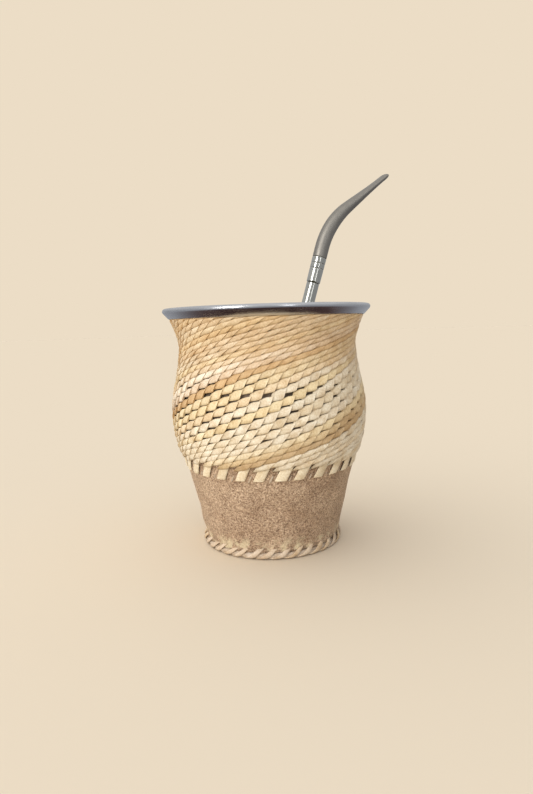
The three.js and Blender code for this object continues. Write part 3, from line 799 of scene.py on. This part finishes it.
# Drinking straw: a polished steel tube that stands in the leaf and leans to the right. A
# ferrule with turned rings joins it to a satin mouthpiece, bent over and pressed flat.
STRAW_AT_RIM = np.array([19.6, 25.9, 102.6])
STRAW_PLANE_DEGREES, STRAW_LEAN_DEGREES = 17.0, 16.7
STRAW_FOOT_Z = 16.0
SHAFT_DIAMETER = 6.0
JOINT_AT, FERRULE_END, BEND_FROM = 11.9, 24.0, 28.9
FERRULE_LOW_DIAMETER, MOUTHPIECE_DIAMETER = 6.5, 6.8
RING_GROOVES = (18.6, 21.1)
GROOVE_DEPTH, GROOVE_HALF_WIDTH = 0.32, 0.16
BEND_RADIUS, BEND_DEGREES, BILL_LENGTH = 37.0, 36.5, 25.5
BILL_THICKNESS, BILL_WIDTH = 2.6, 9.0
SLOT_THICKNESS, SLOT_WIDTH, SLOT_DEPTH = 1.0, 6.2, 7.0
BILL_LIP = 1.2
STRAW_SIDES = 40

bend = math.radians(BEND_DEGREES)
bend_to = BEND_FROM + BEND_RADIUS * bend
straw_tip = bend_to + BILL_LENGTH
straw_lean = math.radians(STRAW_LEAN_DEGREES)
straw_plane = math.radians(STRAW_PLANE_DEGREES)
shaft_foot = -(STRAW_AT_RIM[2] - STRAW_FOOT_Z) / math.cos(straw_lean)


def leaning(angle):
    """Unit direction in the straw's upright plane that leans from the vertical by an angle."""
    flat = np.sin(angle)
    return np.stack([flat * math.cos(straw_plane), flat * math.sin(straw_plane), np.cos(angle)], -1)


def swept_rings(distance, thickness, width):
    """Rings across the straw at distances above the rim's level. The middle line is straight, then
    an arc, whose chord leans by half its turn more, then straight again. A ring is an ellipse:
    its thickness lies in the plane of the bend and its width across it."""
    distance = np.asarray(distance, float)
    turn = np.clip((distance - BEND_FROM) / BEND_RADIUS, 0, bend)
    middle = STRAW_AT_RIM + np.minimum(distance, BEND_FROM)[:, None] * leaning(straw_lean + 0 * turn)
    middle = middle + (2 * BEND_RADIUS * np.sin(turn / 2))[:, None] * leaning(straw_lean + turn / 2)
    middle = middle + np.maximum(distance - bend_to, 0)[:, None] * leaning(straw_lean + turn)
    angle = np.linspace(0, 2 * np.pi, STRAW_SIDES, endpoint=False)
    out = leaning(straw_lean + turn + np.pi / 2)
    side = np.array([-math.sin(straw_plane), math.cos(straw_plane), 0])
    half_thickness = 0.5 * np.broadcast_to(thickness, distance.shape)[:, None, None]
    half_width = 0.5 * np.broadcast_to(width, distance.shape)[:, None, None]
    in_plane = half_thickness * np.cos(angle)[:, None] * out[:, None]
    across = half_width * np.sin(angle)[:, None] * side
    return middle[:, None] + in_plane + across


def put_tube(name, rings, material):
    """Piece skinned over rings, with a flat face on the first and on the last."""
    return put_mesh(name, rings, tube_faces(1, len(rings), STRAW_SIDES), material, sharp_degrees=30)


along_straw = (0.0, -straw_lean, -straw_plane)
shaft_steel = make_steel(
    "polished_straw_steel", paint(196, 195, 187), (900.0, 900.0, 60.0), along_straw, 0.08, 0.2, 0.004
)
satin_steel = make_steel(
    "satin_straw_steel", paint(158, 153, 145), (700.0, 700.0, 80.0), along_straw, 0.46, 0.6, 0.008
)

shaft_stations = [shaft_foot, shaft_foot + 0.4, *np.linspace(-70, JOINT_AT - 0.5, 12), JOINT_AT - 0.1]
shaft_sizes = np.full(len(shaft_stations), SHAFT_DIAMETER)
shaft_sizes[[0, -1]] = SHAFT_DIAMETER - 0.6
shaft = put_tube("straw_tube", swept_rings(shaft_stations, shaft_sizes, shaft_sizes), shaft_steel)
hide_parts("straw_shaft")

ferrule_stations = np.linspace(JOINT_AT, FERRULE_END, 122)
ferrule_sizes = np.linspace(FERRULE_LOW_DIAMETER, MOUTHPIECE_DIAMETER, len(ferrule_stations))
for groove in (JOINT_AT, *RING_GROOVES, FERRULE_END):
    ferrule_sizes -= GROOVE_DEPTH * np.exp(-(((ferrule_stations - groove) / GROOVE_HALF_WIDTH) ** 2))
ferrule_rings = swept_rings(ferrule_stations, ferrule_sizes, ferrule_sizes)
ferrule = put_tube("straw_ferrule", ferrule_rings, shaft_steel)

shoulder_stations = [FERRULE_END + 0.05, FERRULE_END + 0.3]
bent_stations = np.linspace(FERRULE_END + 0.8, straw_tip - BILL_LIP, 60)
outer_stations = np.concatenate([shoulder_stations, bent_stations])
pressed = ramp(outer_stations, BEND_FROM + 0.4 * (bend_to - BEND_FROM), straw_tip)
outer_thickness = MOUTHPIECE_DIAMETER + (BILL_THICKNESS - MOUTHPIECE_DIAMETER) * pressed
outer_width = MOUTHPIECE_DIAMETER + (BILL_WIDTH - MOUTHPIECE_DIAMETER) * pressed
outer_thickness[0] -= 0.5
outer_width[0] -= 0.5
lip_angle = np.linspace(0.15, 0.95, 8) * np.pi / 2
lip_stations = straw_tip - BILL_LIP + BILL_LIP * np.sin(lip_angle)
lip_thickness = SLOT_THICKNESS + (BILL_THICKNESS - SLOT_THICKNESS) * np.cos(lip_angle)
lip_width = SLOT_WIDTH + (BILL_WIDTH - SLOT_WIDTH) * np.cos(lip_angle)
slot_stations = [straw_tip - 0.1, straw_tip - 1.5, straw_tip - SLOT_DEPTH]
mouthpiece_rings = swept_rings(
    np.concatenate([outer_stations, lip_stations, slot_stations]),
    np.concatenate([outer_thickness, lip_thickness, [SLOT_THICKNESS] * 3]),
    np.concatenate([outer_width, lip_width, [SLOT_WIDTH] * 3]),
)
mouthpiece = put_tube("straw_bill", mouthpiece_rings, satin_steel)
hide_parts("straw_mouthpiece")


# Yerba leaf: dried, crumbled leaf with bits of twig. It is banked up against the front wall and
# falls away towards the straw, where the hot water goes in.
LEAF_BANK_Z, LEAF_LOW_Z = 86.0, 73.0
BANK_MIDDLE, BANK_HALF_WIDTH = 4.0, 9.0
LEAF_RINGS = 70
LEAF_SEED = 23
FLAKES = 2400
FLAKE_LONG, FLAKE_WIDE, FLAKE_SKIN = 4, 3, 0.06
TWIGS = 220
TWIG_STATIONS, TWIG_SIDES = 4, 6

straw_foot_direction = STRAW_AT_RIM[:2] / np.linalg.norm(STRAW_AT_RIM[:2])


def leaf_height(x, y):
    """Height of the leaf bed: a bank that falls by a smooth step towards the straw. The
    edge of the bank wanders by two sine waves across it."""
    towards_straw = x * straw_foot_direction[0] + y * straw_foot_direction[1]
    across = x * straw_foot_direction[1] - y * straw_foot_direction[0]
    towards_straw = towards_straw + 1.7 * np.sin(0.19 * across + 0.8) + 0.9 * np.sin(0.53 * across)
    fall = ramp(towards_straw, BANK_MIDDLE - BANK_HALF_WIDTH, BANK_MIDDLE + BANK_HALF_WIDTH)
    return LEAF_BANK_Z + (LEAF_LOW_Z - LEAF_BANK_Z) * fall


def make_leaf():
    """Crumbled leaf: each flake's own green, speckled and rough."""
    material, tree, shader = new_material("yerba_leaf", Specular_IOR_Level=0.25)
    tone = add_node(tree, "Attribute", attribute_name="own_tone").outputs["Color"]
    mottle = add_mottle(tree, 400.0, 2200.0)
    speck_dark, speck_light = paint(160, 150, 130), paint(255, 255, 245)
    speckle = add_ramp(tree, mottle.outputs["Grain"], (0.3, speck_dark), (0.65, speck_light))
    colour = add_mix(tree, 1.0, tone, speckle, "MULTIPLY")
    roughness = add_range(tree, mottle.outputs["Grain"], 0.65, 0.95)
    finish_surface(tree, shader, colour, roughness, mottle.outputs["Grain"], 0.2)
    return material


yerba = make_leaf()
LEAF_DARK = point_tone(92, 98, 44)
LEAF_LIGHT = point_tone(158, 160, 84)
TWIG_TONE = point_tone(186, 170, 116)

draw = np.random.default_rng(LEAF_SEED)
leaf_azimuth = np.linspace(0, 2 * np.pi, ROUND_STEPS, endpoint=False)[:, None]
edge_r = cavity_radius(np.full_like(leaf_azimuth, 80.0))
for _ in range(3):
    edge_z = leaf_height(edge_r * np.sin(leaf_azimuth), -edge_r * np.cos(leaf_azimuth))
    edge_r = cavity_radius(edge_z) + 0.1
spread = np.linspace(0.012, 1, LEAF_RINGS)[None]
bed_x = edge_r * spread * np.sin(leaf_azimuth)
bed_y = -edge_r * spread * np.cos(leaf_azimuth)
grit = draw.uniform(-0.45, 0.45, bed_x.shape) * (1 - ramp(spread, 0.97, 1.0))
bed_top = np.stack([bed_x, bed_y, leaf_height(bed_x, bed_y) + grit], -1)[:, ::-1]
wall_share = np.linspace(0.06, 1, 12)[None]
wall_z = edge_z + (CAVITY_CORNER_Z - edge_z) * wall_share
wall_r = cavity_radius(wall_z) + 0.1
bed_wall = round_points(wall_r, leaf_azimuth, wall_z)[:, ::-1]
bed_points = np.concatenate([bed_wall, bed_top], axis=1)
bed_faces = capped_faces(ROUND_STEPS, bed_points.shape[1])
bed = put_mesh("yerba_bed", bed_points, bed_faces, yerba, sharp_degrees=180)
bed_green = draw.uniform(0, 1, bed_points.shape[0] * bed_points.shape[1])[:, None]
set_tones(bed, LEAF_DARK + (LEAF_LIGHT - LEAF_DARK) * 0.6 * bed_green)
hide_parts("leaf_bed")


def scattered(total, reach):
    """Points spread evenly over the bed, out to a share of the cavity's radius."""
    angle = draw.uniform(0, 2 * np.pi, total)
    distance = reach * np.min(edge_r) * np.sqrt(draw.uniform(0, 1, total))
    x, y = distance * np.sin(angle), -distance * np.cos(angle)
    return np.stack([x, y, leaf_height(x, y)], -1)


def random_frames(total, tip):
    """Three unit directions for each thing: a heading at random, its side and its up, tipped by
    up to an angle from the vertical."""
    heading = draw.uniform(0, 2 * np.pi, total)
    pitch = draw.uniform(-tip, tip, total)
    roll = draw.uniform(-tip, tip, total)
    ahead = np.stack([np.cos(heading) * np.cos(pitch), np.sin(heading) * np.cos(pitch), np.sin(pitch)], -1)
    flat_side = np.stack([-np.sin(heading), np.cos(heading), 0 * heading], -1)
    up = np.cross(ahead, flat_side)
    side = flat_side * np.cos(roll)[:, None] + up * np.sin(roll)[:, None]
    return ahead, side, np.cross(ahead, side)


flake_u = np.linspace(-1, 1, FLAKE_LONG)[:, None]
flake_v = np.linspace(-1, 1, FLAKE_WIDE)[None]
flake_width = np.sqrt(np.clip(1.08 - flake_u**2, 0, 1))
flake_length = draw.uniform(0.5, 1.7, FLAKES)[:, None, None]
flake_breadth = flake_length * draw.uniform(0.35, 0.8, (FLAKES, 1, 1))
flake_bend = draw.uniform(-0.5, 0.5, (FLAKES, 1, 1))
flake_x = flake_length * (flake_u + 0 * flake_v)
flake_y = flake_breadth * flake_v * flake_width * draw.uniform(0.7, 1.2, (FLAKES, FLAKE_LONG, 1))
flake_z = flake_bend * flake_length * (flake_u**2 - 0.4 * flake_v**2)
ahead, side, up = (axis[:, None, None] for axis in random_frames(FLAKES, 0.6))
flake_middle = scattered(FLAKES, 0.97)[:, None, None] + up * draw.uniform(0.1, 0.7, (FLAKES, 1, 1, 1))
flake_face = flake_middle + ahead * flake_x[..., None] + side * flake_y[..., None] + up * flake_z[..., None]
flake_points = np.concatenate([flake_face + FLAKE_SKIN * up, flake_face - FLAKE_SKIN * up], axis=1)
flake_border = grid_border(FLAKE_LONG, FLAKE_WIDE)
next_border = np.roll(flake_border, -1)
per_side = FLAKE_LONG * FLAKE_WIDE
per_flake = 2 * per_side
flake_squares = grid_faces(FLAKE_LONG, FLAKE_WIDE, close_columns=False)
flake_side = np.stack([flake_border, flake_border + per_side, next_border + per_side, next_border], -1)
one_flake = np.concatenate([flake_squares, flake_squares[:, ::-1] + per_side, flake_side])
flake_faces = (one_flake[None] + per_flake * np.arange(FLAKES)[:, None, None]).reshape(-1, 4)
flakes = put_mesh("leaf_flakes", flake_points, flake_faces, yerba, sharp_degrees=60)
flake_green = draw.uniform(0, 1, (FLAKES, 1))
set_tones(flakes, np.repeat(LEAF_DARK + (LEAF_LIGHT - LEAF_DARK) * flake_green, per_flake, axis=0))

twig_angle = np.linspace(0, 2 * np.pi, TWIG_SIDES, endpoint=False)
twig_length = draw.uniform(1.2, 4.2, TWIGS)[:, None, None]
twig_size = draw.uniform(0.22, 0.5, TWIGS)[:, None, None]
twig_along = np.linspace(-1, 1, TWIG_STATIONS)[None, :, None]
twig_bow = draw.uniform(-0.25, 0.25, (TWIGS, 1, 1)) * twig_length * twig_along**2
ahead, side, up = (axis[:, None, None] for axis in random_frames(TWIGS, 0.35))
twig_points = (
    scattered(TWIGS, 0.93)[:, None, None]
    + 0.45 * up
    + ahead * (twig_length * twig_along)[..., None]
    + side * (twig_bow + twig_size * np.cos(twig_angle))[..., None]
    + up * (twig_size * np.sin(twig_angle) + 0 * twig_along)[..., None]
)
twig_faces = tube_faces(TWIGS, TWIG_STATIONS, TWIG_SIDES)
twigs = put_mesh("leaf_twigs", twig_points, twig_faces, yerba, sharp_degrees=70)
twig_tone = TWIG_TONE * draw.uniform(0.75, 1.1, (TWIGS, 1))
set_tones(twigs, np.repeat(twig_tone, TWIG_STATIONS * TWIG_SIDES, axis=0))


# Infusion: hot water that has drawn the leaf, standing in the hollow round the straw. It climbs
# a little up the wall, and a thin froth of bubbles gathers at its edge.
DRINK_LEVEL_Z, DRINK_BED_Z = 79.2, 72.4
MENISCUS = 0.5
BUBBLES = 420
BUBBLE_SIDES, BUBBLE_ROWS = 9, 5
FROTH_SEED = 31


def make_infusion():
    """Greenish brown liquid, clouded in soft patches and wet on top."""
    material, tree, shader = new_material("infusion", IOR=1.33, Coat_Weight=0.4, Coat_Roughness=0.04)
    mottle = add_mottle(tree, 120.0, 900.0)
    cloud = add_ramp(tree, mottle.outputs["Patch"], (0.3, paint(96, 92, 40)), (0.7, paint(140, 134, 66)))
    roughness = add_range(tree, mottle.outputs["Patch"], 0.04, 0.12)
    finish_surface(tree, shader, cloud, roughness, mottle.outputs["Patch"], 0.2)
    return material


def make_froth():
    """Froth: pale yellowish green skins of bubbles."""
    material, tree, shader = new_material("froth", Coat_Weight=0.5)
    mottle = add_mottle(tree, 500.0, 2500.0)
    foam = add_ramp(tree, mottle.outputs["Patch"], (0.3, paint(178, 172, 108)), (0.7, paint(214, 208, 150)))
    roughness = add_range(tree, mottle.outputs["Grain"], 0.12, 0.3)
    finish_surface(tree, shader, foam, roughness, mottle.outputs["Grain"], 0.03)
    return material


drink_r = cavity_radius(DRINK_LEVEL_Z) + 0.1
drink_spread = drink_r * np.sin(np.linspace(0.02, np.pi / 2, 24))
drink_outline = [
    (POLE_R, DRINK_BED_Z),
    (cavity_radius(DRINK_BED_Z) - 0.5, DRINK_BED_Z),
    (drink_r, DRINK_LEVEL_Z - 1.0),
    *zip(drink_spread[::-1], DRINK_LEVEL_Z + MENISCUS * np.exp((drink_spread[::-1] - drink_r) / 0.8)),
]
drink = put_mesh(
    "infusion",
    turned(drink_outline, ROUND_STEPS),
    capped_faces(ROUND_STEPS, len(drink_outline)),
    make_infusion(),
)
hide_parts("mate_drink")

draw = np.random.default_rng(FROTH_SEED)
straw_azimuth = math.atan2(straw_foot_direction[0], -straw_foot_direction[1])
froth_angle = straw_azimuth + draw.uniform(-1.3, 1.3, BUBBLES)
froth_size = draw.uniform(0.25, 1.0, BUBBLES) ** 1.5
froth_r = drink_r - froth_size - np.abs(draw.normal(0, 1.8, BUBBLES))
bubble_latitude = np.linspace(-0.5, np.pi / 2 - 0.12, BUBBLE_ROWS)[None, None, :]
bubble_turn = np.linspace(0, 2 * np.pi, BUBBLE_SIDES, endpoint=False)[None, :, None]
bubble_size = shaped(froth_size)
bubble_belt = bubble_size * np.cos(bubble_latitude)
bubble_points = np.stack(
    [
        shaped(froth_r * np.sin(froth_angle)) + bubble_belt * np.sin(bubble_turn),
        shaped(-froth_r * np.cos(froth_angle)) - bubble_belt * np.cos(bubble_turn),
        DRINK_LEVEL_Z + bubble_size * (np.sin(bubble_latitude) + 0.15) + 0 * bubble_turn,
    ],
    -1,
)
one_bubble = capped_faces(BUBBLE_SIDES, BUBBLE_ROWS)
bubble_faces = repeated_faces(one_bubble, BUBBLES, BUBBLE_SIDES * BUBBLE_ROWS)
froth = put_mesh("froth", bubble_points, bubble_faces, make_froth())


# Stage: a plain pale floor that runs into a backdrop of the same colour, under a dome of light
# that is brighter on the left. A tall soft box on the left and a narrow one on the right light
# the cup alone. Steel mirrors a darker room. The camera stands where the photograph was taken.
BACKDROP = paint(236, 221, 198)
DOME_LEFT, DOME_RIGHT = (1.6, 1.58, 1.54, 1.0), (0.4, 0.42, 0.46, 1.0)
FLOOR_R = 6.0
FLOOR_SIDES = 64
CAMERA_PLACE = (0.0, -0.2575, 0.09526)
CAMERA_PITCH_DEGREES, CAMERA_ROLL_DEGREES, CAMERA_YAW_DEGREES = 7.15, -1.75, 0.22
FOCAL_PIXELS, FRAME_HEIGHT, SENSOR = 585.0, 794.0, 36.0
scene = bpy.context.scene

floor_material, _, floor_shader = new_material("floor_paper", Roughness=0.9, Specular_IOR_Level=0.0)
floor_shader.inputs["Base Color"].default_value = BACKDROP
floor_angle = np.linspace(0, 2 * np.pi, FLOOR_SIDES, endpoint=False)
floor_points = FLOOR_R * np.stack([np.cos(floor_angle), np.sin(floor_angle), 0 * floor_angle], -1)
floor_mesh = bpy.data.meshes.new("floor")
floor_mesh.from_pydata(floor_points.tolist(), [], [list(range(FLOOR_SIDES))])
floor_mesh.materials.append(floor_material)
floor = bpy.data.objects.new("floor", floor_mesh)
floor.visible_glossy = False
scene.collection.objects.link(floor)
floor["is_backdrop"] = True

lit_pieces = bpy.data.collections.new("lit_pieces")
scene.collection.children.link(lit_pieces)
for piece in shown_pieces():
    lit_pieces.objects.link(piece)


def add_soft_box(name, place, target, size, power, colour):
    """Rectangular area light at a place, turned to face a target. It lights the cup alone."""
    light = bpy.data.lights.new(name, "AREA")
    light.shape = "RECTANGLE"
    light.size, light.size_y = size
    light.energy = power
    light.color = colour
    lamp = bpy.data.objects.new(name, light)
    scene.collection.objects.link(lamp)
    turn = (Vector(target) - Vector(place)).to_track_quat("-Z", "Y").to_matrix().to_4x4()
    lamp.matrix_world = Matrix.Translation(place) @ turn
    lamp.light_linking.receiver_collection = lit_pieces


add_soft_box("left_soft_box", (-0.75, -0.95, 0.55), (0, 0, 0.06), (0.4, 0.9), 9.5, (1.0, 0.98, 0.95))
add_soft_box("right_soft_box", (0.42, -0.95, 0.5), (0, 0, 0.08), (0.08, 0.9), 0.9, (0.96, 0.98, 1.0))

world = bpy.data.worlds.new("studio")
scene.world = world
world.use_nodes = True
tree = world.node_tree
direction = add_node(tree, "SeparateXYZ", {"Vector": add_node(tree, "TexCoord").outputs["Generated"]})
room = add_ramp(
    tree,
    add_range(tree, direction.outputs["Z"], 0.0, 1.0, -1.0, 1.0),
    (0.0, (0.05, 0.026, 0.024, 1.0)),
    (0.12, (0.1, 0.06, 0.055, 1.0)),
    (0.3, (0.38, 0.39, 0.42, 1.0)),
    (0.5, (0.42, 0.43, 0.45, 1.0)),
    (1.0, (0.85, 0.85, 0.85, 1.0)),
)
to_the_right = add_range(tree, direction.outputs["X"], 0.0, 1.0, -1.0, 1.0)
light_tint = add_mix(tree, to_the_right, DOME_LEFT, DOME_RIGHT)
dome = tree.nodes["Background"]
tree.links.new(light_tint, dome.inputs["Color"])
mirrored = add_node(tree, "Background", {"Color": room})
backdrop = add_node(tree, "Background", {"Color": BACKDROP})
rays = add_node(tree, "LightPath")
lit = {0: rays.outputs["Is Glossy Ray"], 1: dome.outputs[0], 2: mirrored.outputs[0]}
mirror_or_dome = add_node(tree, "MixShader", lit)
shown = {0: rays.outputs["Is Camera Ray"], 1: mirror_or_dome.outputs[0], 2: backdrop.outputs[0]}
seen = add_node(tree, "MixShader", shown)
tree.links.new(seen.outputs[0], tree.nodes["World Output"].inputs["Surface"])

camera_data = bpy.data.cameras.new("camera")
camera_data.sensor_width = SENSOR
camera_data.lens = FOCAL_PIXELS * SENSOR / FRAME_HEIGHT
camera_data.clip_start = 0.01
camera = bpy.data.objects.new("camera", camera_data)
scene.collection.objects.link(camera)
camera.matrix_world = (
    Matrix.Translation(CAMERA_PLACE)
    @ Matrix.Rotation(math.radians(CAMERA_YAW_DEGREES), 4, "Z")
    @ Matrix.Rotation(math.radians(90 - CAMERA_PITCH_DEGREES), 4, "X")
    @ Matrix.Rotation(math.radians(CAMERA_ROLL_DEGREES), 4, "Z")
)
scene.camera = camera
scene.view_settings.view_transform = "Standard"
